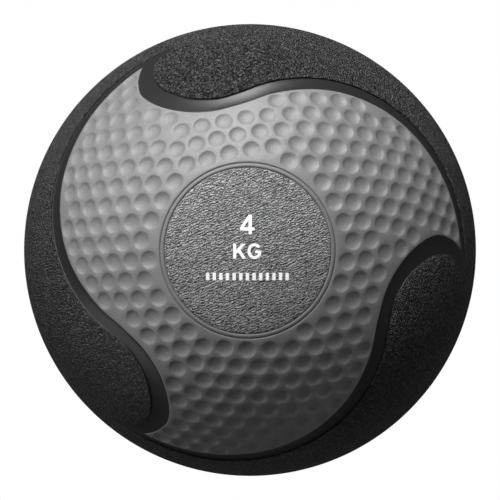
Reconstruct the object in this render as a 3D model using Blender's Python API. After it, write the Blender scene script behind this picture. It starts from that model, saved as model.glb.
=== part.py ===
"""Rubber medicine ball: an air bladder, a thread winding, two weighted rubber half shells, and a moulded
cover whose three-lobed grip, dimpled panel, bead ring and round badge repeat on both sides.

Each side is built about its own +Z, which runs out through its badge. The front side faces -Y and the
back side faces +Y. Places on a side are given as two angles in degrees: polar, counted from the badge's
centre, and around, counter-clockwise as seen from outside. The inflation valve is in the back badge."""

import math

import bmesh
import bpy
import numpy as np

# Layers, counted inwards from the ball's surface (metres)
BALL_RADIUS = 0.115
COVER_THICKNESS = 0.0037
CORE_THICKNESS = 0.0205
WINDING_THICKNESS = 0.0010
BLADDER_THICKNESS = 0.0020
SEAM_GAP = 0.0003  # between pieces whose facets line up
COVER_GAP = 0.0008  # under the cover, whose flat facets dip below its round inside

# Pattern of one side (degrees)
LOBES = 3
BADGE_EDGE = 19.9
RING_WIDTH = 1.1
PANEL_SPIRAL = 28.0  # how far the panel's grid lines lead its outline at the ring
RIM_START = -42.0  # the grip's first grid line at the parting line, trailing its outline's first point
COLUMNS_PER_LOBE = 20

# One lobe's stations along the smooth channel: where it meets the panel, and where it meets the grip
CHANNEL_STATIONS = (
    ((0.3, 64.7), (-9.5, 68.3)),
    ((3.5, 64.3), (2.0, 67.5)),
    ((20.0, 61.8), (21.0, 65.4)),
    ((40.0, 57.0), (41.6, 60.7)),
    ((60.0, 49.8), (62.2, 53.5)),
    ((80.0, 41.6), (83.0, 45.0)),
    ((92.0, 37.4), (93.0, 41.2)),
    ((103.0, 36.3), (101.0, 40.0)),
    ((113.0, 38.4), (109.5, 41.9)),
    ((121.0, 44.0), (115.8, 46.6)),
    ((124.6, 52.3), (118.8, 52.8)),
    ((123.5, 58.0), (118.6, 58.0)),
    ((121.8, 62.0), (116.4, 63.2)),
    ((120.3, 64.7), (110.5, 68.3)),
)

# Channel and bead ring (metres)
CHANNEL_DEPTH = 0.0008
CHANNEL_LIP = 0.0002
LEAST_STEP = 0.0001
STEP_FADE = 0.08  # share of a lobe's outline over which the grip's edge sinks away
BEAD_GROOVE = 0.0006

# Valve, on the back badge's axis, from the needle hole outwards (metres)
NEEDLE_RADIUS = 0.0010
PLUG_WALL = 0.0018
PLUG_HEAD_OVERHANG = 0.0020
PLUG_HEAD_THICKNESS = 0.0020
PLUG_FLARE = 0.0006  # how much wider the plug's retaining end is
PLUG_FLARE_LENGTH = 0.0022
NECK_WALL = 0.0011  # around the plug's head
FLANGE_WIDTH = 0.0068
FLANGE_THICKNESS = 0.0018
FACE_RECESS = 0.0002  # the boot's end below the plug's face

# Facets
SHELL_SIDES = 24
SHELL_STEP = 15.0
BADGE_SIDES = 32
BADGE_RINGS = 3
RING_SIDES = 48
VALVE_SIDES = 24

core_radius = BALL_RADIUS - COVER_THICKNESS - COVER_GAP
core_inside = core_radius - CORE_THICKNESS
winding_radius = core_inside - SEAM_GAP
winding_inside = winding_radius - WINDING_THICKNESS
bladder_radius = winding_inside - SEAM_GAP
bladder_inside = bladder_radius - BLADDER_THICKNESS
cover_inside = BALL_RADIUS - COVER_THICKNESS
ring_edge = BADGE_EDGE + RING_WIDTH
plug_radius = NEEDLE_RADIUS + PLUG_WALL
plug_head_radius = plug_radius + PLUG_HEAD_OVERHANG
neck_radius = plug_head_radius + SEAM_GAP + NECK_WALL
flange_radius = neck_radius + FLANGE_WIDTH
neck_hole = neck_radius + SEAM_GAP


def clear_scene():
    for thing in list(bpy.data.objects):
        bpy.data.objects.remove(thing, do_unlink=True)


def make_material(name, colour, roughness):
    material = bpy.data.materials.new(name)
    material.use_nodes = True
    shader = material.node_tree.nodes["Principled BSDF"]
    shader.inputs["Base Color"].default_value = (*colour, 1.0)
    shader.inputs["Roughness"].default_value = roughness
    shader.inputs["Metallic"].default_value = 0.0
    return material


def directions(places):
    """Unit vectors for rows of (around, polar) in degrees."""
    around, polar = np.radians(places[..., 0]), np.radians(places[..., 1])
    flat = np.sin(polar)
    return np.stack([flat * np.cos(around), flat * np.sin(around), np.cos(polar)], axis=-1)


def smooth_curve(points, stops, at):
    """Cubic curve through points, which lie at the given stops, read at the values in at."""
    slopes = np.gradient(points, stops, axis=0)
    piece = np.clip(np.searchsorted(stops, at, side="right") - 1, 0, len(stops) - 2)
    span = (stops[piece + 1] - stops[piece])[:, None]
    t = (at - stops[piece])[:, None] / span
    rise = points[piece + 1] - points[piece]
    bend_in = slopes[piece] * span - rise
    bend_out = rise - slopes[piece + 1] * span
    return points[piece] + t * rise + t * (1 - t) * ((1 - t) * bend_in + t * bend_out)


def channel_edges():
    """Closed rows of (around, polar) for the panel's outline and the grip's, column facing column."""
    stations = np.array(CHANNEL_STATIONS)
    middle = directions(stations.mean(axis=1))
    steps = np.linalg.norm(np.diff(middle, axis=0), axis=1)
    stops = np.concatenate([[0.0], np.cumsum(steps)])
    at = np.linspace(0.0, stops[-1], COLUMNS_PER_LOBE, endpoint=False)
    edges = []
    for side in range(2):
        one = smooth_curve(stations[:, side], stops, at)
        edges.append(np.concatenate([one + (360.0 / LOBES * lobe, 0.0) for lobe in range(LOBES)]))
    return edges


def even_row(start, polar):
    """A full turn of columns at one polar angle, from the given angle around."""
    count = LOBES * COLUMNS_PER_LOBE
    around = start + 360.0 / count * np.arange(count)
    return np.stack([around, np.full(count, polar)], axis=-1)


def moved_in(row, distance):
    """A closed row of unit vectors moved sideways on the ball, towards the badge where distance is positive."""
    along = np.roll(row, -1, axis=0) - row
    along /= np.linalg.norm(along, axis=1, keepdims=True)
    after = np.cross(row, along)
    before = np.roll(after, 1, axis=0)
    mitre = (after + before) / (1.0 + np.sum(after * before, axis=1, keepdims=True))
    moved = row + mitre * distance / BALL_RADIUS
    return moved / np.linalg.norm(moved, axis=1, keepdims=True)


def rim_row(radius):
    """The grip's column ends at the parting line, half a seam above the ball's middle plane."""
    height = SEAM_GAP / 2
    row = directions(even_row(RIM_START, 90.0)) * math.sqrt(radius**2 - height**2)
    row[:, 2] = height
    return row


def link(name, mesh, material, turn, centre):
    mesh.shade_smooth()
    mesh.set_sharp_from_angle(angle=math.radians(30))
    mesh.materials.append(material)
    thing = bpy.data.objects.new(name, mesh)
    thing.rotation_euler = turn
    thing.parent = centre
    bpy.context.scene.collection.objects.link(thing)
    return thing


def banded_mesh(name, rows):
    """A ring-shaped body whose surface is a closed set of closed rows, each bridged to the next."""
    count, columns = len(rows), len(rows[0])
    index = np.arange(count * columns).reshape(count, columns)
    below, beside = np.roll(index, -1, axis=0), np.roll(index, -1, axis=1)
    corner = np.roll(below, -1, axis=1)
    faces = np.stack([index, below, corner, beside], axis=-1).reshape(-1, 4)
    mesh = bpy.data.meshes.new(name)
    mesh.from_pydata(np.concatenate(rows).tolist(), [], faces.tolist())
    body = bmesh.new()
    body.from_mesh(mesh)
    bmesh.ops.triangulate(body, faces=body.faces, quad_method="SHORT_EDGE")
    bmesh.ops.recalc_face_normals(body, faces=body.faces)
    body.to_mesh(mesh)
    body.free()
    return mesh


def turned_mesh(name, profile, sides, closed):
    """A body turned about +Z from a profile of (radius, height), closed or ending on the axis."""
    body = bmesh.new()
    points = [body.verts.new((radius, 0.0, height)) for radius, height in profile]
    pairs = list(zip(points, points[1:]))
    if closed:
        pairs.append((points[-1], points[0]))
    lines = [body.edges.new(pair) for pair in pairs]
    bmesh.ops.spin(body, geom=points + lines, cent=(0, 0, 0), axis=(0, 0, 1), angle=math.tau,
                   steps=sides, use_merge=True)
    bmesh.ops.remove_doubles(body, verts=body.verts, dist=1e-6)
    bmesh.ops.recalc_face_normals(body, faces=body.faces)
    mesh = bpy.data.meshes.new(name)
    body.to_mesh(mesh)
    body.free()
    return mesh


def arc(radius, angles):
    """Profile points on a circle about the ball's centre, at polar angles in degrees."""
    return [(radius * math.sin(math.radians(a)), radius * math.cos(math.radians(a))) for a in angles]


def at_height(radius, height):
    return (math.sqrt(radius**2 - height**2), height)


def at_reach(radius, reach):
    return (reach, math.sqrt(radius**2 - reach**2))


def panel_mesh(name, outline):
    """Dimpled panel: from the bead ring out to the channel, with three pointed arms."""
    hub_angle = ring_edge + math.degrees(SEAM_GAP / 2 / BALL_RADIUS)
    hub = even_row(outline[0, 0] + PANEL_SPIRAL, hub_angle)
    shares = np.linspace(0.0, 1.0, 8)[1:-1]
    layers = [directions(hub)]
    layers += [directions(hub + (outline - hub) * share) for share in shares]
    layers.append(moved_in(directions(outline), SEAM_GAP / 2))
    outside = [layer * BALL_RADIUS for layer in layers]
    inside = [layer * cover_inside for layer in reversed(layers)]
    return banded_mesh(name, outside + inside)


def step_heights():
    """The grip edge's height over the channel for each column, sinking away near each cusp."""
    place = np.arange(LOBES * COLUMNS_PER_LOBE) % COLUMNS_PER_LOBE / COLUMNS_PER_LOBE
    rise = np.clip(np.minimum(place, 1.0 - place) / STEP_FADE, 0.0, 1.0)
    return LEAST_STEP + (CHANNEL_DEPTH - LEAST_STEP) * rise * rise * (3.0 - 2.0 * rise)


def grip_mesh(name, outline, grip_edge):
    """Grip cover: the smooth channel beside the panel, a step up, then the grip to the parting line."""
    rim = even_row(RIM_START, 90.0)
    step = step_heights()[:, None]
    start = moved_in(directions(outline), -SEAM_GAP / 2)
    middle = directions((outline + grip_edge) / 2)
    edge = directions(grip_edge)
    shares = np.linspace(0.0, 1.0, 8)[1:-1]
    field = [directions(grip_edge + (rim - grip_edge) * share) for share in shares]
    outside = [start * (BALL_RADIUS - CHANNEL_LIP), middle * (BALL_RADIUS - step),
               edge * (BALL_RADIUS - step), edge * BALL_RADIUS]
    outside += [row * BALL_RADIUS for row in field]
    outside.append(rim_row(BALL_RADIUS))
    inside = [rim_row(cover_inside)]
    inside += [row * cover_inside for row in reversed(field)]
    inside += [edge * cover_inside, start * cover_inside]
    return banded_mesh(name, outside + inside)


def bead_mesh(name):
    """Bead ring: a round-topped ridge between the badge and the panel."""
    slack = math.degrees(SEAM_GAP / 2 / BALL_RADIUS)
    low, high = BADGE_EDGE + slack, ring_edge - slack
    quarter = (high - low) / 4
    top = arc(BALL_RADIUS - BEAD_GROOVE, [low])
    top += arc(BALL_RADIUS, [low + quarter, high - quarter])
    top += arc(BALL_RADIUS - BEAD_GROOVE, [high])
    return turned_mesh(name, top + arc(cover_inside, [high, low]), RING_SIDES, closed=True)


def badge_mesh(name, hole):
    """Badge: a round cap of the cover, with a hole for the valve where hole isn't zero."""
    edge = BADGE_EDGE - math.degrees(SEAM_GAP / 2 / BALL_RADIUS)
    rings = [edge * ring / BADGE_RINGS for ring in range(1, BADGE_RINGS + 1)]
    outside = [at_reach(BALL_RADIUS, hole)] + arc(BALL_RADIUS, rings)
    inside = arc(cover_inside, reversed(rings)) + [at_reach(cover_inside, hole)]
    return turned_mesh(name, outside + inside, BADGE_SIDES, closed=hole > 0)


def half_shell_mesh(name, radius, inner, hole):
    """Half of a round shell, open at the middle plane, with a hole at its pole where hole isn't zero."""
    angles = np.arange(SHELL_STEP, 90.0, SHELL_STEP).tolist()
    outside = [at_reach(radius, hole)] + arc(radius, angles) + [at_height(radius, SEAM_GAP / 2)]
    inside = [at_height(inner, SEAM_GAP / 2)] + arc(inner, reversed(angles)) + [at_reach(inner, hole)]
    return turned_mesh(name, outside + inside, SHELL_SIDES, closed=hole > 0)


def full_shell_mesh(name, radius, inner):
    """A whole round shell with the valve's hole at its top."""
    angles = np.arange(SHELL_STEP, 180.0, SHELL_STEP).tolist()
    inside = [(0.0, -inner)] + arc(inner, reversed(angles)) + [at_reach(inner, neck_hole)]
    outside = [at_reach(radius, neck_hole)] + arc(radius, angles) + [(0.0, -radius)]
    return turned_mesh(name, inside + outside, SHELL_SIDES, closed=False)


def under_bladder(reach):
    """Height of the bladder's inside facet beside the valve's hole, at a distance from the axis."""
    hole_reach, hole_height = at_reach(bladder_inside, neck_hole)
    ring_reach, ring_height = arc(bladder_inside, [SHELL_STEP])[0]
    return hole_height + (reach - hole_reach) * (ring_height - hole_height) / (ring_reach - hole_reach)


def boot_mesh(name):
    """Valve boot: a flange under the bladder and a neck out to the surface, bored for the plug."""
    top = BALL_RADIUS - FACE_RECESS
    seat = BALL_RADIUS - PLUG_HEAD_THICKNESS - SEAM_GAP
    flange_top = under_bladder(flange_radius) - SEAM_GAP
    neck_foot = under_bladder(neck_radius) - SEAM_GAP
    flange_bottom = flange_top - FLANGE_THICKNESS
    pocket_bottom = flange_bottom + FLANGE_THICKNESS / 2
    pocket_top = pocket_bottom + PLUG_FLARE_LENGTH + 2 * SEAM_GAP
    bore = plug_radius + SEAM_GAP
    pocket = bore + PLUG_FLARE
    profile = [
        (neck_radius, top), (plug_head_radius + SEAM_GAP, top), (plug_head_radius + SEAM_GAP, seat),
        (bore, seat), (bore, pocket_top), (pocket, pocket_top), (pocket, pocket_bottom),
        (NEEDLE_RADIUS + SEAM_GAP, pocket_bottom), (NEEDLE_RADIUS + SEAM_GAP, flange_bottom),
        (flange_radius, flange_bottom), (flange_radius, flange_top), (neck_radius, neck_foot),
    ]
    return turned_mesh(name, profile, VALVE_SIDES, closed=True)


def plug_mesh(name):
    """Valve plug: a headed rubber plug with a needle hole, held by its wider inner end."""
    face = BALL_RADIUS
    under_head = face - PLUG_HEAD_THICKNESS
    flange_bottom = under_bladder(flange_radius) - SEAM_GAP - FLANGE_THICKNESS
    foot = flange_bottom + FLANGE_THICKNESS / 2 + SEAM_GAP
    profile = [
        (NEEDLE_RADIUS, face), (plug_head_radius, face), (plug_head_radius, under_head),
        (plug_radius, under_head), (plug_radius, foot + PLUG_FLARE_LENGTH),
        (plug_radius + PLUG_FLARE, foot + PLUG_FLARE_LENGTH), (plug_radius + PLUG_FLARE, foot),
        (NEEDLE_RADIUS, foot),
    ]
    return turned_mesh(name, profile, VALVE_SIDES, closed=True)


def main():
    clear_scene()
    centre = bpy.data.objects.new("ball_centre", None)
    bpy.context.scene.collection.objects.link(centre)
    grip_black = make_material("grip_rubber", (0.022, 0.022, 0.023), 0.60)
    panel_grey = make_material("panel_rubber", (0.17, 0.17, 0.17), 0.45)
    badge_grey = make_material("badge_rubber", (0.045, 0.045, 0.047), 0.50)
    ring_grey = make_material("ring_rubber", (0.075, 0.075, 0.077), 0.45)
    core_rubber = make_material("core_rubber", (0.030, 0.030, 0.030), 0.80)
    thread = make_material("winding_thread", (0.62, 0.60, 0.54), 0.85)
    butyl = make_material("bladder_rubber", (0.018, 0.018, 0.019), 0.55)
    valve_rubber = make_material("valve_rubber", (0.020, 0.020, 0.020), 0.50)
    outline, grip_edge = channel_edges()
    quarter_turn, half_turn = math.radians(90), math.radians(180)
    facing_front, facing_back = (quarter_turn, 0.0, 0.0), (quarter_turn, 0.0, half_turn)
    for side, turn, hole in (("front", facing_front, 0.0), ("back", facing_back, neck_hole)):
        pieces = (
            (f"{side}_badge", badge_mesh(f"{side}_badge", hole), badge_grey),
            (f"{side}_badge_ring", bead_mesh(f"{side}_badge_ring"), ring_grey),
            (f"{side}_dimple_panel", panel_mesh(f"{side}_dimple_panel", outline), panel_grey),
            (f"{side}_grip_cover", grip_mesh(f"{side}_grip_cover", outline, grip_edge), grip_black),
            (f"{side}_core", half_shell_mesh(f"{side}_core", core_radius, core_inside, hole), core_rubber),
        )
        for name, mesh, material in pieces:
            link(name, mesh, material, turn, centre)
    link("winding", full_shell_mesh("winding", winding_radius, winding_inside), thread, facing_back, centre)
    link("bladder", full_shell_mesh("bladder", bladder_radius, bladder_inside), butyl, facing_back, centre)
    link("valve_boot", boot_mesh("valve_boot"), valve_rubber, facing_back, centre)
    link("valve_plug", plug_mesh("valve_plug"), valve_rubber, facing_back, centre)


main()
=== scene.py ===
"""Looks of a rubber medicine ball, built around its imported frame.

Each side of the cover is worked out about its own +Z, which runs out through the badge. The front side
faces -Y and the back side faces +Y. A place on a side is two angles in degrees: around, counter-clockwise
as seen from outside, and polar, counted from the badge's centre."""

import math

import bpy
import numpy as np
from bpy.props import FloatProperty, FloatVectorProperty, IntProperty, PointerProperty
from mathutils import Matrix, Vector, geometry


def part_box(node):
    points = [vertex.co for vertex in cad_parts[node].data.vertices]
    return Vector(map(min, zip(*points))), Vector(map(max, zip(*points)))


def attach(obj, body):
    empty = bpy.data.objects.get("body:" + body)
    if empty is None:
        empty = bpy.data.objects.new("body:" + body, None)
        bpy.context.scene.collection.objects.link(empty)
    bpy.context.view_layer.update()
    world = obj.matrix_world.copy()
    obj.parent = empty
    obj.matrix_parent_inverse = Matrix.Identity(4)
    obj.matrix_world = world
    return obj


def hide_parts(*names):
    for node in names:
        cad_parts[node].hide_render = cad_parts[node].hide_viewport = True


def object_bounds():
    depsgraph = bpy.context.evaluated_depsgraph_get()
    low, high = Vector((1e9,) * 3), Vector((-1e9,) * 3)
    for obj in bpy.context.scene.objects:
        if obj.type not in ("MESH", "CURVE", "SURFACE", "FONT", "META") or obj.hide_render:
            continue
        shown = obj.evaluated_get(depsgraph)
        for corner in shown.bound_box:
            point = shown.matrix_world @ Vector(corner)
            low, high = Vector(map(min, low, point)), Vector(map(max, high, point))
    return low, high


bl_info = {
    "name": "Medicine Ball",
    "version": (1, 0, 0),
    "blender": (4, 5, 0),
    "location": "3D View > Sidebar > Medicine Ball",
    "description": "Builds the cover, marking, valve and layers of a rubber medicine ball",
    "category": "Object",
}

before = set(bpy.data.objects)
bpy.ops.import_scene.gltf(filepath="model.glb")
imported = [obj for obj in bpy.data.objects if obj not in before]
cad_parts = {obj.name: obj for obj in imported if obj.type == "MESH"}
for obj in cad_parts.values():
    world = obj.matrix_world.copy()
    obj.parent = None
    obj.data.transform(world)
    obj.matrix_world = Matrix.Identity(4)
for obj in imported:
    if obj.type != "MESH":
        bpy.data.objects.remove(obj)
CAD_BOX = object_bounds()


def node_points(name):
    """Every vertex of one of the frame's nodes."""
    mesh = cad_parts[name].data
    flat = np.empty(len(mesh.vertices) * 3)
    mesh.vertices.foreach_get("co", flat)
    return flat.reshape(-1, 3)


BALL_RADIUS = (CAD_BOX[1][2] - CAD_BOX[0][2]) / 2
COVER_INSIDE = float(np.linalg.norm(node_points("front_dimple_panel"), axis=1).min())
SIDES = ("front", "back")

# Pattern of one side (degrees)
LOBES = 3
BADGE_EDGE = 19.9
RING_EDGE = 21.0
PANEL_SPIRAL = 28.0  # turn of the panel's columns from its outline to the ring
RIM_START = -42.0  # where the grip's first column meets the parting line

# One lobe's stations along the smooth channel: where it meets the panel, and where it meets the grip
CHANNEL_STATIONS = (
    ((0.3, 64.7), (-9.5, 68.3)),
    ((3.5, 64.3), (2.0, 67.5)),
    ((20.0, 61.8), (21.0, 65.4)),
    ((40.0, 57.0), (41.6, 60.7)),
    ((60.0, 49.8), (62.2, 53.5)),
    ((80.0, 41.6), (83.0, 45.0)),
    ((92.0, 37.4), (93.0, 41.2)),
    ((103.0, 36.3), (101.0, 40.0)),
    ((113.0, 38.4), (109.5, 41.9)),
    ((121.0, 44.0), (115.8, 46.6)),
    ((124.6, 52.3), (118.8, 52.8)),
    ((123.5, 58.0), (118.6, 58.0)),
    ((121.8, 62.0), (116.4, 63.2)),
    ((120.3, 64.7), (110.5, 68.3)),
)

# Dimples: columns fan out beside a mirror line that runs out from the badge (degrees)
MIRROR_AROUND = 65.2
WEDGE = 60.0  # from one mirror line to the next
DIMPLE_COLUMNS = 13
COLUMN_PITCH = 4.55
FIRST_DIMPLE = 38.7  # polar angle of one dimple on the mirror line
SETTLES_BEFORE = 2.3  # how far past the next mirror line a dimple may lie and still settle on it
SETTLES_AFTER = 0.8  # how far short of that line it may lie
START_CLEAR = 1.2  # from a first place to the panel's edges
RING_CLEAR = 2.8  # from a settled dimple's centre to the ring
CHANNEL_CLEAR = 2.5  # from a settled dimple's centre to the channel
CLOSEST_SHARE = 0.95  # least share of the pitch between two centres
SETTLING_PASSES = 20
SIDESTEP = 0.6  # share of an overlap that one pass takes away
SELF_DISTANCE = 10.0  # in place of a dimple's distance to itself

# A dimple's bowl, in shares of its radius
DIMPLE_RINGS = (0.32, 0.60, 0.82, 0.93, 0.985, 1.05)
BOWL_POWER = 2.7
RIM_SOFTNESS = 0.012

# Shape of the grip's step: distance from the channel (metres), and the share of the step still left there
STEP_PROFILE = ((0.0, 1.15), (0.00008, 1.0), (0.00018, 0.30), (0.00030, 0.07), (0.00050, 0.0))
STEP_FADE = 0.08  # share of a lobe's columns over which the step fades at each end
LEAST_STEP = 0.00005
FIELD_START = 0.06  # share of the way to the parting line at the grip's first even row

# Facets
PANEL_COLUMNS = 160
GRIP_COLUMNS = 240
FINE_STEPS = 2000
ROUNDING_STEPS = 4
DIMPLE_SIDES = 28
CHANNEL_ROWS = 12
FIELD_ROWS = 36
INSIDE_ROWS = 6
TURNED_SIDES = 192
BADGE_RINGS = 16
VALVE_SIDES = 96
FILLER_SPACING = 0.0026  # between the points that fill the web (metres)
FILLER_CLEAR = 0.0012  # from those points to the web's borders (metres)
MERGE_DISTANCE = 1e-9

# Valve, on the back badge's axis (metres)
NEEDLE_RADIUS = 0.0010
STEM_RADIUS = 0.0028
PLUG_HEAD_THICKNESS = 0.0020
PLUG_RIM_ROUNDING = 0.0005
PLUG_FLARE = 0.0006
PLUG_FLARE_LENGTH = 0.0022
FUNNEL_RADIUS = 0.0022
FUNNEL_DEPTH = 0.0011
FUNNEL_PROFILE = ((0.7, 0.55), (1.0, 0.12), (1.2, 0.0))  # shares of its radius and of its depth

# Print on the front badge (millimetres): spacing of its points, and heights of the rows' middles
MILLIMETRES = 1000.0  # in a metre
PRINT_SPACING = 0.6
NUMERAL_RISE = 12.2
UNIT_RISE = -0.2
TALLY_RISE = -12.1

# Grain of the finishes (metres), with the ridges' tilt in degrees and their waver in radians
SAND_SIZE = 0.0007
PANEL_CLOUD_SIZE = 0.03
PEBBLE_SIZE = 0.00078
GRIP_CLOUD_SIZE = 0.02
RIDGE_SPACING = 0.00115
RIDGE_TILT = 24.0
RIDGE_WAVER = 7.0
FINE_SIZE = 0.0012
FINE_HEIGHT = 0.00003
CORE_GRAIN = (0.003, 0.0002)  # size and height
BLADDER_GRAIN = (0.004, 0.0001)
THREAD_SCALE = 300.0
THREAD_SLANT = (1.0, 0.4, 0.0)
WAVE_SPACING = math.pi / 10.0  # between a Wave texture's bands at a scale of 1

# Sockets of a Mix node that carry its colours
MIX_FACTOR, MIX_FIRST, MIX_SECOND, MIX_RESULT = 0, 6, 7, 2
WHITE = (1.0, 1.0, 1.0, 1.0)
BLACK = (0.0, 0.0, 0.0, 1.0)

FLOOR_REACH = 6.0

# Lamps, all aimed at the ball: name, watts, disc's width, degrees around and above the badge's axis, and
# whether reflections show it. The last one lights the back.
LAMP_DISTANCE = 1.3
LAMPS = (
    ("overhead", 8.7, 0.9, -3.0, 61.0, True),
    ("key", 9.2, 0.9, -35.0, 40.0, True),
    ("key_centre", 2.3, 0.4, -5.0, 46.0, True),
    ("left_wide", 1.9, 0.9, -70.0, 15.0, True),
    ("left_low", 1.4, 0.9, -80.0, -30.0, True),
    ("right_edge", 1.7, 0.9, 80.0, -18.0, False),
    ("top_small", 3.2, 0.4, 0.0, 81.0, True),
    ("behind", 14.0, 0.4, 192.0, 9.0, False),
)


def amount(name, description, default, **kind):
    """A number that a user may change. Its unit or subtype is in kind."""
    return FloatProperty(name=name, description=description, default=default, **kind)


def length(name, description, default):
    """A size in metres that a user may change."""
    return amount(name, description, default, unit="LENGTH")


def tint(name, description, *default):
    """A colour that a user may change."""
    return FloatVectorProperty(name=name, description=description, default=default, subtype="COLOR")


class BallSizes(bpy.types.PropertyGroup):
    """Sizes of the moulded cover."""

    dimple_width: length("Dimple width", "Across a dimple's rim", 0.0086)
    dimple_depth: length("Dimple depth", "From the rim to the bottom", 0.0012)
    dimple_pitch: length("Dimple pitch", "From one dimple's centre to the next", 0.01054)
    seam_gap: length("Seam gap", "Open line between two pieces of the cover", 0.0001)
    edge_radius: length("Edge radius", "Rounding along the panel's edges", 0.0003)
    groove_radius: length("Groove radius", "Rounding beside the badge's ring", 0.0007)
    channel_lip: length("Channel lip", "Drop from the panel to the channel", 0.0002)
    channel_sag: length("Channel sag", "Hollow of the channel across its width", 0.0003)
    grip_step: length("Grip step", "Height of the grip over the channel", 0.0007)
    badge_recess: length("Badge recess", "Drop from the ball's surface to the badge", 0.00015)
    ink_thickness: length("Ink thickness", "Printed layer on the badge", 0.00008)
    numeral_height: length("Numeral height", "Height of the weight's numeral", 0.0092)
    unit_height: length("Unit height", "Height of the weight's unit", 0.0069)
    tally_bars: IntProperty(name="Tally bars", description="Bars in the row under the weight", default=13)


class BallColours(bpy.types.PropertyGroup):
    """Colours of the rubbers, the print and the layers inside."""

    grip: tint("Grip", "Black rubber of the grip and the channel", 0.030, 0.030, 0.030)
    panel: tint("Panel", "Grey rubber of the dimpled panel", 0.26, 0.26, 0.26)
    badge: tint("Badge", "Dark grey rubber of the badge", 0.345, 0.345, 0.345)
    ring: tint("Ring", "Rubber of the ring round the badge", 0.24, 0.24, 0.24)
    ink: tint("Ink", "White print of the weight", 0.97, 0.97, 0.97)
    core: tint("Core", "Weighted rubber under the cover", 0.030, 0.030, 0.030)
    thread: tint("Thread", "Thread wound over the bladder", 0.62, 0.60, 0.54)
    bladder: tint("Bladder", "Butyl rubber of the bladder", 0.018, 0.018, 0.019)
    valve: tint("Valve", "Rubber of the valve's boot and plug", 0.020, 0.020, 0.020)


class StudioSettings(bpy.types.PropertyGroup):
    """Camera and light."""

    camera_distance: length("Camera distance", "From the ball's centre", 1.25)
    focal_length: amount("Focal length", "Lens, in millimetres", 176.1)
    camera_around: amount("Camera around", "Turn to the right of the badge's axis", math.radians(0.6),
                          subtype="ANGLE")
    camera_above: amount("Camera above", "Height over the badge's axis", math.radians(0.16),
                         subtype="ANGLE")
    light_level: amount("Light level", "Multiplies the power of every lamp", 1.0)
    room_level: amount("Room level", "Even light from all round", 0.048)


def directions(places):
    """Unit vectors for rows of (around, polar): sin(polar) along the turned X axis, cos(polar) along Z."""
    around, polar = np.radians(places[..., 0]), np.radians(places[..., 1])
    flat = np.sin(polar)
    return np.stack([flat * np.cos(around), flat * np.sin(around), np.cos(polar)], axis=-1)


def unit(vectors):
    """Each vector divided by its length."""
    return vectors / np.linalg.norm(vectors, axis=-1, keepdims=True)


def smooth_curve(points, stops, at):
    """Cubic through points at the given stops, read at the values in at, with each point's slope taken
    from its two neighbours."""
    slopes = np.gradient(points, stops, axis=0)
    piece = np.clip(np.searchsorted(stops, at, side="right") - 1, 0, len(stops) - 2)
    span = (stops[piece + 1] - stops[piece])[:, None]
    t = (at - stops[piece])[:, None] / span
    rise = points[piece + 1] - points[piece]
    bend_in = slopes[piece] * span - rise
    bend_out = rise - slopes[piece + 1] * span
    return points[piece] + t * rise + t * (1 - t) * ((1 - t) * bend_in + t * bend_out)


def channel_edges(columns, evenly=None):
    """Closed rows of (around, polar) along the panel's outline and the grip's, with the lobe repeated
    every third of a turn. The steps are equal along the channel's middle line, or along the row whose
    number is evenly."""
    stations = np.array(CHANNEL_STATIONS)
    middle = directions(stations.mean(axis=1))
    stops = np.concatenate([[0.0], np.cumsum(np.linalg.norm(np.diff(middle, axis=0), axis=1))])
    at = np.linspace(0.0, stops[-1], columns, endpoint=False)
    if evenly is not None:
        fine = np.linspace(0.0, stops[-1], FINE_STEPS)
        path = directions(smooth_curve(stations[:, evenly], stops, fine))
        run = np.concatenate([[0.0], np.cumsum(np.linalg.norm(np.diff(path, axis=0), axis=1))])
        at = np.interp(np.linspace(0.0, run[-1], columns, endpoint=False), run, fine)
    edges = []
    for side in range(2):
        one = smooth_curve(stations[:, side], stops, at)
        edges.append(np.concatenate([one + (360.0 / LOBES * lobe, 0.0) for lobe in range(LOBES)]))
    return edges


def even_row(count, start, polar):
    """A full turn of equally spaced columns at one polar angle."""
    return np.stack([start + 360.0 / count * np.arange(count), np.full(count, polar)], axis=-1)


def moved_in(row, distance):
    """A closed row of unit vectors moved sideways over the ball by a distance, towards the badge where it
    is positive, with mitred corners."""
    after = np.cross(row, unit(np.roll(row, -1, axis=0) - row))
    before = np.roll(after, 1, axis=0)
    mitre = (after + before) / (1.0 + np.sum(after * before, axis=1, keepdims=True))
    return unit(row + mitre * distance / BALL_RADIUS)


def quarter_round(radius):
    """(inset, drop) pairs along a rounded edge, from its foot, radius below the surface, to its top: the
    radius times one less the cosine, and times one less the sine, of a quarter turn."""
    turn = np.linspace(0.0, math.pi / 2, ROUNDING_STEPS)
    return list(zip(radius * (1 - np.cos(turn)), radius * (1 - np.sin(turn))))


def polar_round(radius):
    """quarter_round with the inset as an angle over the ball, in degrees."""
    return [(math.degrees(inset / BALL_RADIUS), drop) for inset, drop in quarter_round(radius)]


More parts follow.
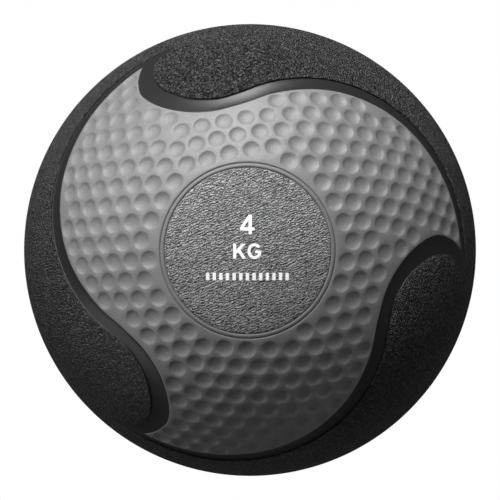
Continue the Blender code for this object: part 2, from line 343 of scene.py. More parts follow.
class Body:
    """Points and faces of one piece, gathered as whole arrays in its side's own frame."""

    def __init__(self):
        self.points = []
        self.faces = []
        self.count = 0

    def place(self, points):
        """Adds points laid out in any grid and returns their numbers in that grid."""
        points = np.asarray(points, dtype=float)
        numbers = self.count + np.arange(points[..., 0].size).reshape(points.shape[:-1])
        self.points.append(points.reshape(-1, 3))
        self.count += numbers.size
        return numbers

    def bands(self, rows, closed=False):
        """Quads between successive closed rows. Each runs counter-clockwise, and they go outwards."""
        low, high = rows[..., :-1, :], rows[..., 1:, :]
        if closed:
            low, high = rows, np.roll(rows, -1, axis=-2)
        quads = np.stack([low, high, np.roll(high, -1, axis=-1), np.roll(low, -1, axis=-1)], axis=-1)
        self.faces.append(quads.reshape(-1, 4))

    def fan(self, centre, ring):
        """Triangles from a centre to the closed ring round it."""
        centre = np.broadcast_to(centre[..., None], ring.shape)
        self.faces.append(np.stack([centre, ring, np.roll(ring, -1, axis=-1)], axis=-1).reshape(-1, 3))

    def mesh(self, name, side):
        """The mesh, turned so that its side's +Z looks along -Y for the front and +Y for the back."""
        points = np.concatenate(self.points)
        x, y, z = points[:, 0], points[:, 1], points[:, 2]
        world = (x, -z, y) if side == "front" else (-x, z, y)
        data = bpy.data.meshes.new(name)
        data.from_pydata(np.stack(world, axis=-1).tolist(), [], sum((f.tolist() for f in self.faces), []))
        data.validate()
        return data


def finish_piece(name, mesh, material, replaced=(), sharp=45.0):
    """Makes a finished mesh's object, shades it smooth up to its sharp edges and ties it to the frame."""
    mesh.shade_smooth()
    mesh.set_sharp_from_angle(angle=math.radians(sharp))
    mesh.materials.append(material)
    piece = bpy.data.objects.new(name, mesh)
    bpy.context.scene.collection.objects.link(piece)
    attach(piece, "root")
    if replaced:
        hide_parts(*replaced)


class Wire:
    """An output of a material's node. Python arithmetic on it adds Math nodes, and add() any other."""

    def __init__(self, tree, socket=None):
        self.tree = tree
        self.socket = socket

    def add(self, kind, settings=None, values=None, output=0):
        """Adds a node of a type, sets its settings, then its sockets, and wraps one of its outputs.
        Sockets and outputs are given by name or number."""
        node = self.tree.nodes.new(kind)
        for key, value in (settings or {}).items():
            setattr(node, key, value)
        for key, value in (values or {}).items():
            if isinstance(value, Wire):
                self.tree.links.new(value.socket, node.inputs[key])
            else:
                node.inputs[key].default_value = value
        return Wire(self.tree, node.outputs[output])

    def math(self, operation, first, second):
        """Adds a Math node on two values or wires."""
        return self.add("ShaderNodeMath", {"operation": operation}, {0: first, 1: second})

    def __add__(self, other):
        return self.math("ADD", self, other)

    def __sub__(self, other):
        return self.math("SUBTRACT", self, other)

    def __mul__(self, other):
        return self.math("MULTIPLY", self, other)

    def __rsub__(self, other):
        return self.math("SUBTRACT", other, self)

    __radd__ = __add__
    __rmul__ = __mul__


class Finish:
    """A material on a Principled shader, whose varying sockets are wired by expressions."""

    def __init__(self, name, specular=0.5):
        self.material = bpy.data.materials.new(name)
        self.material.use_nodes = True
        self.tree = self.material.node_tree
        self.shader = self.tree.nodes["Principled BSDF"]
        self.shader.inputs["Specular IOR Level"].default_value = specular
        self.start = Wire(self.tree)
        self.place = self.start.add("ShaderNodeTexCoord", output="Object")

    def noise(self, size, detail=2.0):
        """Noise whose features are about the given size, in metres."""
        return self.start.add("ShaderNodeTexNoise", None, {
            "Vector": self.place, "Scale": 1.0 / size, "Detail": detail})

    def pebbles(self, size, output):
        """Scattered cells about the given size. The output Distance grows from the cell's middle, and
        Color holds a tone of the cell's own."""
        return self.start.add("ShaderNodeTexVoronoi", None, {
            "Vector": self.place, "Scale": 1.0 / size}, output=output)

    def waves(self, rotation, values):
        """Height of a Wave texture's bands across Z, turned by a rotation in radians."""
        turned = self.start.add("ShaderNodeMapping", None, {"Vector": self.place, "Rotation": rotation})
        return self.start.add("ShaderNodeTexWave", {"bands_direction": "Z"}, {
            "Vector": turned, "Detail": 1.0, **values}, output="Fac")

    def ridges(self, spacing, tilt, waver):
        """Rounded ridges at an even spacing across the XZ plane, tilted by degrees and wavering by up to
        an angle of their own turn, in radians."""
        return self.waves((0.0, math.radians(tilt), 0.0), {
            "Scale": WAVE_SPACING / spacing, "Distortion": waver, "Detail Scale": 3.0})

    def mixed(self, factor, first, second):
        """A colour between two, by a factor."""
        return self.start.add("ShaderNodeMix", {"data_type": "RGBA"}, {
            MIX_FACTOR: factor, MIX_FIRST: (*first, 1.0), MIX_SECOND: (*second, 1.0)}, output=MIX_RESULT)

    def bump(self, height, distance):
        """The surface's normal under a height between 0 and 1, which stands for a distance in metres."""
        return self.start.add("ShaderNodeBump", None, {
            "Strength": 1.0, "Distance": distance, "Height": height})

    def wire(self, **sockets):
        """Wires or sets the shader's sockets, whose names are given with _ for a space."""
        for key, value in sockets.items():
            socket = self.shader.inputs[key.replace("_", " ")]
            if isinstance(value, Wire):
                self.tree.links.new(value.socket, socket)
            else:
                socket.default_value = value
        return self.material


def shade(colour, share):
    """A colour made lighter or darker by a share."""
    return tuple(channel * share for channel in colour)


def panel_finish(colour):
    """Satin grey rubber with a faint sandy grain and slow changes of tone."""
    finish = Finish("panel_rubber", specular=0.8)
    sand = finish.noise(SAND_SIZE, detail=3.0)
    cloud = finish.noise(PANEL_CLOUD_SIZE)
    tone = 0.6 * sand + 0.4 * cloud
    return finish.wire(
        Base_Color=finish.mixed(tone, shade(colour, 0.66), shade(colour, 1.34)),
        Roughness=0.42 + 0.10 * sand,
        Normal=finish.bump(sand, 0.00020),
    )


def grip_finish(colour):
    """Black rubber: pebbled where the attribute grain is 1 and smooth satin where it is 0. The pebbled
    part is painted lighter than the smooth part, each pebble with its own tone, cubed so that few pebbles
    are light: these light pebbles are painted glints standing in for light the grain catches."""
    finish = Finish("grip_rubber", specular=0.65)
    grain = finish.start.add("ShaderNodeAttribute", {"attribute_name": "grain"}, output="Fac")
    dome = 1.0 - finish.pebbles(PEBBLE_SIZE, "Distance")
    tone = finish.pebbles(PEBBLE_SIZE, "Color")
    smooth = finish.noise(GRIP_CLOUD_SIZE)
    plain_tone = 0.10
    # Painted glints: the pebbled part's colour is lighter, with a few light pebbles, in place of light
    # caught by the grain.
    pebble_tone_and_painted_glints = plain_tone + (tone * tone * tone - plain_tone) * grain
    return finish.wire(
        Base_Color=finish.mixed(pebble_tone_and_painted_glints, shade(colour, 0.1), shade(colour, 7.5)),
        Roughness=0.30 + 0.05 * smooth + 0.08 * grain,
        Normal=finish.bump(dome * grain, 0.0014),
    )


def badge_finish(colour):
    """Dark grey rubber moulded with a fine leather grain of short slanting ridges. Its colour is darker in
    the valleys as painted shade and lighter on the ridges as painted highlight.
    """
    finish = Finish("badge_rubber", specular=0.25)
    height = finish.ridges(RIDGE_SPACING, RIDGE_TILT, RIDGE_WAVER)
    return finish.wire(
        # Painted shade and highlight: the colour follows the ridges' height, dark in the valleys and light
        # on the tops.
        Base_Color=finish.mixed(height, shade(colour, 0.18), shade(colour, 1.85)),
        Roughness=0.56 - 0.10 * height,
        Normal=finish.bump(height, 0.00065),
    )


def plain_finish(name, colour, roughness, grain=(FINE_SIZE, FINE_HEIGHT)):
    """Moulded rubber with an even grain, given by its size and height."""
    finish = Finish(name)
    size, height = grain
    fine = finish.noise(size)
    return finish.wire(
        Base_Color=finish.mixed(fine, shade(colour, 0.92), shade(colour, 1.08)),
        Roughness=roughness + 0.08 * fine,
        Normal=finish.bump(fine, height),
    )


def ink_with_painted_glow(colour):
    """Bright white ink, slightly uneven, with a painted glow: a faint emission of its own that makes it
    look brighter than its lighting.
    """
    finish = Finish("marking_ink")
    fine = finish.noise(FINE_SIZE)
    return finish.wire(
        Base_Color=finish.mixed(fine, shade(colour, 0.96), colour),
        Roughness=0.50 + 0.08 * fine,
        Normal=finish.bump(fine, FINE_HEIGHT),
        # Painted glow: the ink gives out light of its own.
        Emission_Color=(*colour, 1.0),
        Emission_Strength=0.35,
    )


def thread_finish(colour):
    """Thread wound in crossing turns, with darker gaps between them: the higher of two slanted waves."""
    finish = Finish("winding_thread")
    turns = [finish.waves(tuple(tilt * slant for slant in THREAD_SLANT),
                          {"Scale": THREAD_SCALE, "Distortion": 0.6}) for tilt in (-1.0, 1.0)]
    wound = finish.start.math("MAXIMUM", *turns)
    return finish.wire(
        Base_Color=finish.mixed(wound, shade(colour, 0.45), colour),
        Roughness=0.85,
        Normal=finish.bump(wound, 0.0004),
    )


def dimple_centres(pitch, outline):
    """Unit vectors of every dimple's centre. Columns run out beside a mirror line through the badge's
    centre, each at its own constant angle to that line's plane, with every second column half a pitch on.
    Dimples near the next mirror line settle on it. The wedge is mirrored and turned round the badge. Then
    close neighbours, and dimples too near the ring or the channel, sidestep over the ball."""
    column = np.arange(DIMPLE_COLUMNS)[:, None]
    beside = np.radians(COLUMN_PITCH * column)
    number = np.arange(-DIMPLE_COLUMNS, DIMPLE_COLUMNS)[None, :] + 0.5 * (column % 2)
    onward = math.radians(FIRST_DIMPLE) + number * pitch / BALL_RADIUS / np.cos(beside)
    beside, onward = np.broadcast_arrays(beside[..., None], onward[..., None])
    line, far = math.radians(MIRROR_AROUND), math.radians(MIRROR_AROUND - WEDGE)
    outward = np.array([math.cos(line), math.sin(line), 0.0])
    sideways = np.array([math.sin(line), -math.cos(line), 0.0])
    across = np.array([-math.sin(far), math.cos(far), 0.0])
    axis = np.array([0.0, 0.0, 1.0])
    along = np.cos(onward) * axis + np.sin(onward) * outward
    wedge = (np.cos(beside) * along + np.sin(beside) * sideways).reshape(-1, 3)
    inner = np.degrees(np.arcsin(wedge @ across))
    kept = (inner > -SETTLES_BEFORE) & (wedge @ outward > 0.0) & (wedge[:, 2] > 0.0)
    wedge, inner = wedge[kept], inner[kept]
    wedge = unit(wedge - np.where(inner < SETTLES_AFTER, wedge @ across, 0.0)[:, None] * across)
    pair = np.concatenate([wedge, wedge - 2.0 * (wedge @ sideways)[:, None] * sideways])
    turn = 2 * math.pi / LOBES * np.arange(LOBES)
    x, y, z = pair[:, 0], pair[:, 1], pair[:, 2]
    cos, sin = np.cos(turn)[:, None], np.sin(turn)[:, None]
    centres = np.stack([cos * x - sin * y, sin * x + cos * y, z + 0.0 * cos], axis=-1).reshape(-1, 3)
    centres = np.unique(np.round(centres, 6), axis=0)
    edge = directions(outline)
    clear = math.radians(START_CLEAR)
    inside = within(flattened(centres), flattened(edge))
    inside &= centres[:, 2] < math.cos(math.radians(RING_EDGE) + clear)
    inside &= (centres @ edge.T).max(axis=1) < math.cos(clear)
    centres = centres[inside]
    closest = CLOSEST_SHARE * pitch / BALL_RADIUS
    for _ in range(SETTLING_PASSES):
        apart = centres[:, None] - centres
        distance = np.linalg.norm(apart, axis=-1) + np.eye(len(centres)) * SELF_DISTANCE
        push = np.clip(closest - distance, 0.0, None) / distance / 2
        centres = unit(centres + SIDESTEP * (apart * push[..., None]).sum(axis=1))
        nearest = edge[(centres @ edge.T).argmax(axis=1)]
        away = centres - nearest
        short = np.clip(math.radians(CHANNEL_CLEAR) - np.linalg.norm(away, axis=1), 0.0, None)
        centres = centres + unit(away) * short[:, None]
        polar = np.arccos(np.clip(unit(centres)[:, 2], -1.0, 1.0))
        short = np.clip(math.radians(RING_EDGE + RING_CLEAR) - polar, 0.0, None)
        centres = unit(centres + unit(centres * (1.0, 1.0, 0.0)) * short[:, None])
    return centres


def flattened(points):
    """Places on the plane that keep circles round: x and y over one plus z, from the far pole."""
    points = unit(points)
    return points[..., :2] / (1.0 + points[..., 2:3])


def within(places, outline):
    """Whether each flat place lies inside a closed outline, by how many of its lines a ray to the right
    crosses."""
    x, y = places[:, 0, None], places[:, 1, None]
    x0, y0 = outline[:, 0], outline[:, 1]
    x1, y1 = np.roll(x0, -1), np.roll(y0, -1)
    spans = (y0 > y) != (y1 > y)
    rise = np.where(y1 == y0, 1.0, y1 - y0)
    return (spans & (x < x0 + (x1 - x0) * (y - y0) / rise)).sum(axis=1) % 2 == 1


def triangles_between(places, loops):
    """Counter-clockwise triangles over flat places, none of which crosses a loop of their numbers."""
    lines = np.concatenate([np.stack([loop, np.roll(loop, -1)], axis=-1) for loop in loops])
    found = geometry.delaunay_2d_cdt(places.tolist(), lines.tolist(), [], 0, MERGE_DISTANCE)
    if len(found[0]) != len(places):
        raise RuntimeError("two outlines of a filled surface cross or share a point")
    origin = np.array([first[0] for first in found[3]])
    triangles = origin[np.array(found[2])]
    a, b, c = (places[triangles[:, corner]] for corner in range(3))
    turned = (b[:, 0] - a[:, 0]) * (c[:, 1] - a[:, 1]) < (b[:, 1] - a[:, 1]) * (c[:, 0] - a[:, 0])
    triangles[turned] = triangles[turned][:, ::-1]
    return triangles


def staggered(low, high, spacing):
    """Flat places in rows over a box, with every second row half a spacing on."""
    columns = np.arange(low[0], high[0], spacing)
    rows = np.arange(low[1], high[1], spacing * math.sqrt(0.75))
    x, y = np.meshgrid(columns, rows)
    x = x + spacing / 2 * (np.arange(len(x)) % 2)[:, None]
    return np.stack([x.ravel(), y.ravel()], axis=-1)


def lifted(places):
    """Unit vectors of flattened places: twice the place, and one less its square, over one plus it."""
    square = (places**2).sum(axis=-1, keepdims=True)
    return np.concatenate([2.0 * places, 1.0 - square], axis=-1) / (1.0 + square)


def bowl_depth(share, depth):
    """Depth at a share of the dimple's radius: one less a power of the share, rounded off at the rim."""
    fall = 1.0 - share**BOWL_POWER
    rounded = (fall + np.sqrt(fall**2 + RIM_SOFTNESS)) / 2
    rest = 1.0 - DIMPLE_RINGS[-1] ** BOWL_POWER
    last = (rest + math.sqrt(rest**2 + RIM_SOFTNESS)) / 2
    top = (1.0 + math.sqrt(1.0 + RIM_SOFTNESS)) / 2
    return depth * (rounded - last) / (top - last)


def panel_body(sizes):
    """Dimpled panel. Each dimple is a bowl of rings round its centre. The web between the bowls, the ring
    and the channel is filled with triangles, and rounded edges, walls and an inner skin close the body."""
    outline, _ = channel_edges(PANEL_COLUMNS, evenly=0)
    gap = sizes.seam_gap / 2
    edge = directions(outline)
    ring_side = RING_EDGE + math.degrees(gap / BALL_RADIUS)
    hub = even_row(len(outline), outline[0, 0] + PANEL_SPIRAL, ring_side)
    rounding = quarter_round(sizes.edge_radius)
    hub_rows = [directions(hub + (0.0, inset)) * (BALL_RADIUS - drop)
                for inset, drop in polar_round(sizes.groove_radius)]
    edge_rows = [moved_in(edge, gap + inset) * (BALL_RADIUS - drop) for inset, drop in reversed(rounding)]
    shares = np.linspace(0.0, 1.0, INSIDE_ROWS + 2)[1:-1]
    inside = [moved_in(edge, gap) * COVER_INSIDE]
    inside += [directions(outline + (hub - outline) * share) * COVER_INSIDE for share in shares]
    body = Body()
    hub_numbers = body.place(np.stack([directions(hub) * COVER_INSIDE] + hub_rows))
    edge_numbers = body.place(np.stack(edge_rows + inside))
    body.bands(hub_numbers)
    body.bands(edge_numbers)
    body.bands(np.stack([edge_numbers[-1], hub_numbers[0]]))

    centres = dimple_centres(sizes.dimple_pitch, outline)
    share = np.array(DIMPLE_RINGS)[None, :, None, None]
    reach = share * sizes.dimple_width / 2 / BALL_RADIUS
    turn = np.linspace(0.0, 2 * math.pi, DIMPLE_SIDES, endpoint=False)[None, None, :, None]
    first = unit(np.cross((0.0, 0.0, 1.0), centres))[:, None, None, :]
    middle = centres[:, None, None, :]
    second = np.cross(middle, first)
    rings = np.cos(reach) * middle + np.sin(reach) * (np.cos(turn) * first + np.sin(turn) * second)
    bowls = body.place(rings * (BALL_RADIUS - bowl_depth(share, sizes.dimple_depth)))
    bottoms = body.place(centres * (BALL_RADIUS - sizes.dimple_depth))
    body.bands(bowls)
    body.fan(bottoms, bowls[:, 0])

    flat_edge, flat_hub = flattened(edge_rows[0]), flattened(hub_rows[-1])
    flat_rims = flattened(rings[:, -1])
    filler = staggered(flat_edge.min(axis=0), flat_edge.max(axis=0), FILLER_SPACING / BALL_RADIUS / 2)
    filler = filler[within(filler, flat_edge) & ~within(filler, flat_hub)]
    filler_vectors = lifted(filler)
    rim_reach = DIMPLE_RINGS[-1] * sizes.dimple_width / 2 + FILLER_CLEAR
    borders = np.concatenate([unit(edge_rows[0]), unit(hub_rows[-1])])
    free = (filler_vectors @ centres.T).max(axis=1) < math.cos(rim_reach / BALL_RADIUS)
    free &= (filler_vectors @ borders.T).max(axis=1) < math.cos(FILLER_CLEAR / BALL_RADIUS)
    filler_numbers = body.place(filler_vectors[free] * BALL_RADIUS)
    rims = bowls[:, -1]
    numbers = np.concatenate([edge_numbers[0], hub_numbers[-1], rims.ravel(), filler_numbers])
    places = np.concatenate([flat_edge, flat_hub, flat_rims.reshape(-1, 2), filler[free]])
    owners = np.concatenate([np.zeros(len(flat_edge), int), np.ones(len(flat_hub), int),
                             2 + np.repeat(np.arange(len(centres)), DIMPLE_SIDES),
                             np.full(len(filler_numbers), -1)])
    count = len(flat_edge) + len(flat_hub)
    loops = [np.arange(len(flat_edge)), np.arange(len(flat_edge), count)]
    loops += list(count + np.arange(rims.size).reshape(rims.shape))
    triangles = triangles_between(places, loops)
    owner = owners[triangles]
    open_web = ~((owner[:, 0] == owner[:, 1]) & (owner[:, 1] == owner[:, 2]) & (owner[:, 0] > 0))
    open_web &= within(places[triangles].mean(axis=1), flat_edge)
    body.faces.append(numbers[triangles[open_web]])
    return body


def grip_body(sizes):
    """Grip cover and, for each point, how pebbled it is. Rows run from the panel's edge over a rounded
    lip, across the channel, whose hollow is a parabola, up the step and on to the parting line, where the
    two sides meet under a rounded groove, then back along the inside. The step fades at a lobe's ends."""
    outline, grip_edge = channel_edges(GRIP_COLUMNS)
    count = len(outline)
    gap = sizes.seam_gap / 2
    place = np.arange(count) % GRIP_COLUMNS / GRIP_COLUMNS
    rise = np.clip(np.minimum(place, 1.0 - place) / STEP_FADE, 0.0, 1.0)
    rise = rise * rise * (3.0 - 2.0 * rise)
    step = LEAST_STEP + (sizes.grip_step - LEAST_STEP) * rise
    edge, foot = directions(outline), directions(grip_edge)
    rim = even_row(count, RIM_START, 90.0)
    rows, drops, grain = [], [], []

    def add(row, drop, pebbled):
        rows.append(row)
        drops.append(np.broadcast_to(drop, count))
        grain.append(np.full(count, pebbled))

    for inset, drop in quarter_round(sizes.edge_radius):
        add(moved_in(edge, -gap - inset), sizes.channel_lip + drop, 0.0)
    for share in np.linspace(0.0, 1.0, CHANNEL_ROWS + 2)[1:-1]:
        hollow = sizes.channel_sag * (LEAST_STEP / sizes.grip_step + rise) * 4.0 * share * (1.0 - share)
        add(directions(outline + (grip_edge - outline) * share),
            sizes.channel_lip * (1.0 - share) + step * share + hollow, 0.0)
    for reach, left in STEP_PROFILE:
        add(moved_in(foot, -reach), step * left, 1.0 - min(left, 1.0))
    for share in np.linspace(FIELD_START, 1.0, FIELD_ROWS, endpoint=False):
        add(directions(grip_edge + (rim - grip_edge) * share), 0.0, 1.0)
    for inset, drop in reversed(polar_round(sizes.edge_radius)):
        add(directions(rim - (0.0, inset)), drop, 1.0)
    depth = BALL_RADIUS - COVER_INSIDE
    add(directions(rim), depth, 0.0)
    for share in np.linspace(1.0, 0.0, INSIDE_ROWS + 2)[1:-1]:
        add(directions(outline + (rim - outline) * share), depth, 0.0)
    add(moved_in(edge, -gap), depth, 0.0)
    body = Body()
    numbers = body.place(np.stack(rows) * (BALL_RADIUS - np.stack(drops))[..., None])
    body.bands(numbers, closed=True)
    return body, np.stack(grain).ravel()


def on_arc(radius, polar):
    """(reach, height) places: the distance from the ball's centre times the sine and the cosine of the
    polar angle, which is in degrees."""
    polar = np.radians(polar)
    return np.stack([radius * np.sin(polar), radius * np.cos(polar)], axis=-1)


def turned_body(profile, sides, closed=True):
    """A profile of (reach, height) rows turned about the badge's axis. It is closed, or starts and ends
    on the axis."""
    turn = np.linspace(0.0, 2 * math.pi, sides, endpoint=False)
    reach, height = profile[:, 0, None], profile[:, 1, None]
    rows = np.stack([reach * np.cos(turn), reach * np.sin(turn), height + 0.0 * turn], axis=-1)
    body = Body()
    if closed:
        body.bands(body.place(rows), closed=True)
        return body
    numbers = body.place(rows[1:-1])
    top, bottom = body.place(rows[[0, -1], 0])
    body.bands(numbers)
    body.fan(top, numbers[0])
    body.fan(bottom, numbers[-1][::-1])
    return body


def ring_body(sizes):
    """Bead ring: a ridge with rounded shoulders that fall to a groove on each side."""
    gap = math.degrees(sizes.seam_gap / 2 / BALL_RADIUS)
    low, high = BADGE_EDGE + gap, RING_EDGE - gap
    shoulder = polar_round(sizes.groove_radius)
    outside = [on_arc(BALL_RADIUS - drop, low + inset) for inset, drop in shoulder]
    outside += [on_arc(BALL_RADIUS - drop, high - inset) for inset, drop in reversed(shoulder)]
    inside = [on_arc(COVER_INSIDE, high), on_arc(COVER_INSIDE, low)]
    return turned_body(np.stack(outside + inside), TURNED_SIDES)


def badge_body(sizes, hole):
    """Badge: a round cap just below the ball's surface with a rounded edge, and a hole of radius hole."""
    face = BALL_RADIUS - sizes.badge_recess
    edge = BADGE_EDGE - math.degrees(sizes.seam_gap / 2 / BALL_RADIUS)
    rounding = polar_round(sizes.groove_radius)
    start = math.degrees(math.asin(hole / BALL_RADIUS))
    outside = [on_arc(face - drop, start + inset) for inset, drop in rounding if hole > 0]
    first = start + rounding[-1][0] if hole > 0 else 0.0
    polars = np.linspace(first, edge - rounding[-1][0], BADGE_RINGS + 1)
    outside += [on_arc(face, polar) for polar in (polars[1:] if hole > 0 else polars)]
    outside += [on_arc(face - drop, edge - inset) for inset, drop in reversed(rounding[:-1])]
    inside = [on_arc(COVER_INSIDE, polar) for polar in np.linspace(edge, start, INSIDE_ROWS)]
    return turned_body(np.stack(outside + inside), TURNED_SIDES, closed=hole > 0)


def plug_body(face, foot, head_radius):
    """Valve plug: a rounded head, a funnel into the needle's hole, and a stem whose foot flares."""
    profile = [(NEEDLE_RADIUS, face - FUNNEL_DEPTH)]
    profile += [(FUNNEL_RADIUS * wide, face - FUNNEL_DEPTH * deep) for wide, deep in FUNNEL_PROFILE]
    rounding = reversed(quarter_round(PLUG_RIM_ROUNDING))
    profile += [(head_radius - inset, face - drop) for inset, drop in rounding]
    under_head = face - PLUG_HEAD_THICKNESS
    flare_top = foot + PLUG_FLARE_LENGTH
    flare_radius = STEM_RADIUS + PLUG_FLARE
    profile += [(head_radius, under_head), (STEM_RADIUS, under_head), (STEM_RADIUS, flare_top),
                (flare_radius, flare_top), (flare_radius, foot), (NEEDLE_RADIUS, foot)]
    return turned_body(np.array(profile), VALVE_SIDES)


def resampled(corners, spacing):
    """A closed outline's corners with more points along its straight lines."""
    corners = np.asarray(corners, dtype=float)
    pieces = []
    for start, end in zip(corners, np.roll(corners, -1, axis=0)):
        steps = max(1, int(np.ceil(np.linalg.norm(end - start) / spacing)))
        pieces.append(start + (end - start) * (np.arange(steps) / steps)[:, None])
    return np.concatenate(pieces)


def numeral_outlines(height):
    """A plain four: a stem, a crossbar and a slanted stroke, on a grid of units scaled to the height."""
    scale = height / 9.2
    around = np.array([(3.85, 0.0), (5.35, 0.0), (5.35, 1.8), (6.6, 1.8), (6.6, 3.2), (5.35, 3.2),
                       (5.35, 9.2), (3.9, 9.2), (0.0, 3.3), (0.0, 1.8), (3.85, 1.8)])
    eye = np.array([(3.85, 3.2), (1.5, 3.2), (3.85, 6.9)])
    return [scale * (outline - (3.3, 4.6)) for outline in (around, eye)]


def unit_outlines(height):
    """The unit's letters: straight strokes for the first, and a broken ring with a bar for the second."""
    scale = height / 6.8
    first = np.array([(0.0, 0.0), (1.35, 0.0), (1.35, 2.1), (2.3, 3.05), (4.2, 0.0), (5.9, 0.0),
                      (3.25, 4.05), (5.75, 6.8), (4.0, 6.8), (1.35, 3.9), (1.35, 6.8), (0.0, 6.8)])
    outer = np.radians(np.linspace(32.0, 322.0, 33))
    inner = np.radians(np.linspace(312.0, 38.0, 29))
    middle = np.array([9.75, 3.4])
    ring = middle + np.stack([3.2 * np.cos(outer), 3.55 * np.sin(outer)], axis=-1)
    bar = middle + np.array([(2.95, -1.9), (2.95, 0.25), (0.25, 0.25), (0.25, -0.95), (1.6, -0.95),
                             (1.6, -1.45)])
    hollow = middle + np.stack([1.85 * np.cos(inner), 2.3 * np.sin(inner)], axis=-1)
    second = np.concatenate([ring, bar, hollow])
    return [scale * (outline - (6.5, 3.4)) for outline in (first, second)]


def tally_outlines(bars):
    """A row of short upright bars."""
    pitch, width, height = 3.1, 1.5, 3.4
    box = np.array([(-width, -height), (width, -height), (width, height), (-width, height)]) / 2
    return [box + (pitch * (bar - (bars - 1) / 2), 0.0) for bar in range(bars)]


def inked(places, loops):
    """Whether each flat place lies inside an odd number of loops."""
    return sum(within(places, loop).astype(int) for loop in loops) % 2 == 1


def print_body(outlines, rise, sizes):
    """A printed shape: flat outlines in millimetres, set above or below the badge's centre, filled with
    triangles and wrapped onto the badge, with a thin wall round each outline and an underside."""
    loops = [resampled(outline, PRINT_SPACING) + (0.0, rise) for outline in outlines]
    borders = np.concatenate(loops)
    filler = staggered(borders.min(axis=0), borders.max(axis=0), PRINT_SPACING)
    clear = np.linalg.norm(filler[:, None] - borders, axis=-1).min(axis=1) > PRINT_SPACING / 2
    places = np.concatenate([borders, filler[inked(filler, loops) & clear]])
    starts = np.cumsum([0] + [len(loop) for loop in loops])
    rings = [np.arange(start, end) for start, end in zip(starts, starts[1:])]
    triangles = triangles_between(places, rings)
    triangles = triangles[inked(places[triangles].mean(axis=1), loops)]
    reach = np.linalg.norm(places, axis=1, keepdims=True)
    angle = reach / MILLIMETRES / BALL_RADIUS
    heading = places / np.maximum(reach, 1e-9)
    vectors = np.concatenate([np.sin(angle) * heading, np.cos(angle)], axis=-1)
    face = BALL_RADIUS - sizes.badge_recess + sizes.ink_thickness
    body = Body()
    top = body.place(vectors * face)
    under = body.place(vectors * (face - 2 * sizes.ink_thickness))
    body.faces += [top[triangles], under[triangles][:, ::-1]]
    for ring in rings:
        body.bands(np.stack([top[ring], under[ring]]))
    return body


def repaint(node, material):
    """Gives one of the frame's own pieces a better material."""
    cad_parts[node].material_slots[0].material = material


class BALL_OT_dimple_panels(bpy.types.Operator):
    """Builds the dimpled panel of each side."""

    bl_idname = "ball.dimple_panels"
    bl_label = "Dimpled panels"

    def execute(self, context):
        ball = context.scene.medicine_ball
        material = panel_finish(ball.colours.panel)
        body = panel_body(ball.sizes)
        for side in SIDES:
            name = f"{side}_panel_skin"
            finish_piece(name, body.mesh(name, side), material, [f"{side}_dimple_panel"])
        return {"FINISHED"}


class BALL_OT_grip_covers(bpy.types.Operator):
    """Builds the pebbled grip and its smooth channel on each side."""

    bl_idname = "ball.grip_covers"
    bl_label = "Grip covers"

    def execute(self, context):
        ball = context.scene.medicine_ball
        material = grip_finish(ball.colours.grip)
        body, grain = grip_body(ball.sizes)
        for side in SIDES:
            name = f"{side}_grip_skin"
            mesh = body.mesh(name, side)
            mesh.attributes.new("grain", "FLOAT", "POINT").data.foreach_set("value", grain)
            finish_piece(name, mesh, material, [f"{side}_grip_cover"])
        return {"FINISHED"}


class BALL_OT_badges(bpy.types.Operator):
    """Builds the round badge of each side. The back one has the valve's hole."""

    bl_idname = "ball.badges"
    bl_label = "Badges"

    def execute(self, context):
        ball = context.scene.medicine_ball
        material = badge_finish(ball.colours.badge)
        hole = float(np.linalg.norm(node_points("back_badge")[:, [0, 2]], axis=1).min())
        for side, opening in zip(SIDES, (0.0, hole)):
            name = f"{side}_badge_face"
            mesh = badge_body(ball.sizes, opening).mesh(name, side)
            finish_piece(name, mesh, material, [f"{side}_badge"])
        return {"FINISHED"}


class BALL_OT_badge_rings(bpy.types.Operator):
    """Builds the ridge round each badge."""

    bl_idname = "ball.badge_rings"
    bl_label = "Badge rings"

    def execute(self, context):
        ball = context.scene.medicine_ball
        material = plain_finish("ring_rubber", ball.colours.ring, 0.45)
        body = ring_body(ball.sizes)
        for side in SIDES:
            name = f"{side}_ring_bead"
            finish_piece(name, body.mesh(name, side), material, [f"{side}_badge_ring"])
        return {"FINISHED"}


class BALL_OT_weight_marking(bpy.types.Operator):
    """Prints the weight and a row of bars on the front badge."""

    bl_idname = "ball.weight_marking"
    bl_label = "Weight marking"

    def execute(self, context):
        ball = context.scene.medicine_ball
        sizes = ball.sizes
        material = ink_with_painted_glow(ball.colours.ink)
        prints = (("weight_numeral", numeral_outlines(sizes.numeral_height * MILLIMETRES), NUMERAL_RISE),
                  ("weight_unit", unit_outlines(sizes.unit_height * MILLIMETRES), UNIT_RISE),
                  ("tally_row", tally_outlines(sizes.tally_bars), TALLY_RISE))
        for name, outlines, rise in prints:
            finish_piece(name, print_body(outlines, rise, sizes).mesh(name, "front"), material)
        return {"FINISHED"}


class BALL_OT_valve(bpy.types.Operator):
    """Builds the valve's plug and finishes its boot."""

    bl_idname = "ball.valve"
    bl_label = "Valve"

    def execute(self, context):
        ball = context.scene.medicine_ball
        material = plain_finish("valve_rubber", ball.colours.valve, 0.45)
        low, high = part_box("valve_plug")
        mesh = plug_body(high[1], low[1], high[0]).mesh("needle_plug", "back")
        finish_piece("needle_plug", mesh, material, ["valve_plug"])
        repaint("valve_boot", material)
        return {"FINISHED"}


class BALL_OT_inner_layers(bpy.types.Operator):
    """Finishes the weighted half shells, the winding and the bladder."""

    bl_idname = "ball.inner_layers"
    bl_label = "Inner layers"

    def execute(self, context):
        colours = context.scene.medicine_ball.colours
        core = plain_finish("core_rubber", colours.core, 0.75, CORE_GRAIN)
        for side in SIDES:
            repaint(f"{side}_core", core)
        repaint("winding", thread_finish(colours.thread))
        repaint("bladder", plain_finish("bladder_rubber", colours.bladder, 0.50, BLADDER_GRAIN))
        return {"FINISHED"}


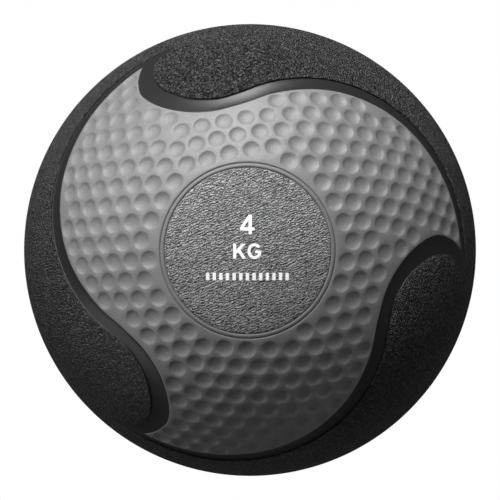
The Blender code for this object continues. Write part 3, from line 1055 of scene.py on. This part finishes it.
def aimed(name, data, around, above, distance):
    """An object at angles around and above the badge's axis, in radians, aimed at the ball's centre."""
    item = bpy.data.objects.new(name, data)
    flat = math.cos(above)
    away = Vector((math.sin(around) * flat, -math.cos(around) * flat, math.sin(above)))
    item.location = away * distance
    item.rotation_euler = away.to_track_quat("Z", "Y").to_euler()
    bpy.context.scene.collection.objects.link(item)
    return item


class BALL_OT_studio(bpy.types.Operator):
    """Sets up the camera, the floor and the lights."""

    bl_idname = "ball.studio"
    bl_label = "Studio"

    def execute(self, context):
        scene = context.scene
        studio = scene.medicine_ball.studio
        scene.view_settings.view_transform = "Standard"
        self.add_camera(scene, studio)
        self.add_floor(scene)
        self.add_world(scene, studio)
        self.add_lights(studio)
        return {"FINISHED"}

    def add_camera(self, scene, studio):
        lens = bpy.data.cameras.new("camera")
        lens.lens = studio.focal_length
        scene.camera = aimed("camera", lens, studio.camera_around, studio.camera_above,
                             studio.camera_distance)

    def add_floor(self, scene):
        corners = ((-1, -1), (1, -1), (1, 1), (-1, 1))
        mesh = bpy.data.meshes.new("floor")
        mesh.from_pydata([(x * FLOOR_REACH, y * FLOOR_REACH, CAD_BOX[0][2]) for x, y in corners], [],
                         [(0, 1, 2, 3)])
        floor = bpy.data.objects.new("floor", mesh)
        finish = Finish("floor_white", specular=0.0)
        mesh.materials.append(finish.wire(Base_Color=BLACK, Emission_Color=WHITE, Emission_Strength=1.0,
                                          Roughness=1.0))
        floor.visible_diffuse = False
        floor.visible_glossy = False
        floor.visible_shadow = False
        scene.collection.objects.link(floor)

    def add_world(self, scene, studio):
        world = bpy.data.worlds.new("studio_white")
        scene.world = world
        world.use_nodes = True
        tree = world.node_tree
        seen = Wire(tree).add("ShaderNodeLightPath", output="Is Camera Ray")
        background = tree.nodes["Background"]
        background.inputs["Color"].default_value = WHITE
        strength = studio.room_level + (1.0 - studio.room_level) * seen
        tree.links.new(strength.socket, background.inputs["Strength"])

    def add_lights(self, studio):
        for name, power, size, around, above, glossy in LAMPS:
            light = bpy.data.lights.new(name, "AREA")
            light.shape = "DISK"
            light.size = size
            light.energy = power * studio.light_level
            lamp = aimed(name, light, math.radians(around), math.radians(above), LAMP_DISTANCE)
            lamp.visible_camera = False
            lamp.visible_glossy = glossy


class MedicineBall(bpy.types.PropertyGroup):
    """All settings of the ball."""

    sizes: PointerProperty(type=BallSizes)
    colours: PointerProperty(type=BallColours)
    studio: PointerProperty(type=StudioSettings)


OPERATORS = (
    BALL_OT_studio,
    BALL_OT_dimple_panels,
    BALL_OT_grip_covers,
    BALL_OT_badges,
    BALL_OT_badge_rings,
    BALL_OT_weight_marking,
    BALL_OT_valve,
    BALL_OT_inner_layers,
)


class BALL_PT_sidebar(bpy.types.Panel):
    """Lists the ball's pieces and its studio in the 3D view's sidebar."""

    bl_idname = "BALL_PT_sidebar"
    bl_label = "Medicine Ball"
    bl_space_type = "VIEW_3D"
    bl_region_type = "UI"
    bl_category = "Medicine Ball"

    def draw(self, context):
        for operator in OPERATORS:
            self.layout.operator(operator.bl_idname)
        ball = context.scene.medicine_ball
        for group in (ball.sizes, ball.colours, ball.studio):
            box = self.layout.box()
            for name in group.bl_rna.properties.keys():
                if name not in ("name", "rna_type"):
                    box.prop(group, name)


CLASSES = (BallSizes, BallColours, StudioSettings, MedicineBall, *OPERATORS, BALL_PT_sidebar)


def register():
    for cls in CLASSES:
        bpy.utils.register_class(cls)
    bpy.types.Scene.medicine_ball = PointerProperty(type=MedicineBall)


def unregister():
    del bpy.types.Scene.medicine_ball
    for cls in reversed(CLASSES):
        bpy.utils.unregister_class(cls)


def main():
    register()
    bpy.ops.ball.studio()
    bpy.ops.ball.dimple_panels()
    bpy.ops.ball.grip_covers()
    bpy.ops.ball.badges()
    bpy.ops.ball.badge_rings()
    bpy.ops.ball.weight_marking()
    bpy.ops.ball.valve()
    bpy.ops.ball.inner_layers()


if __name__ == "__main__":
    main()
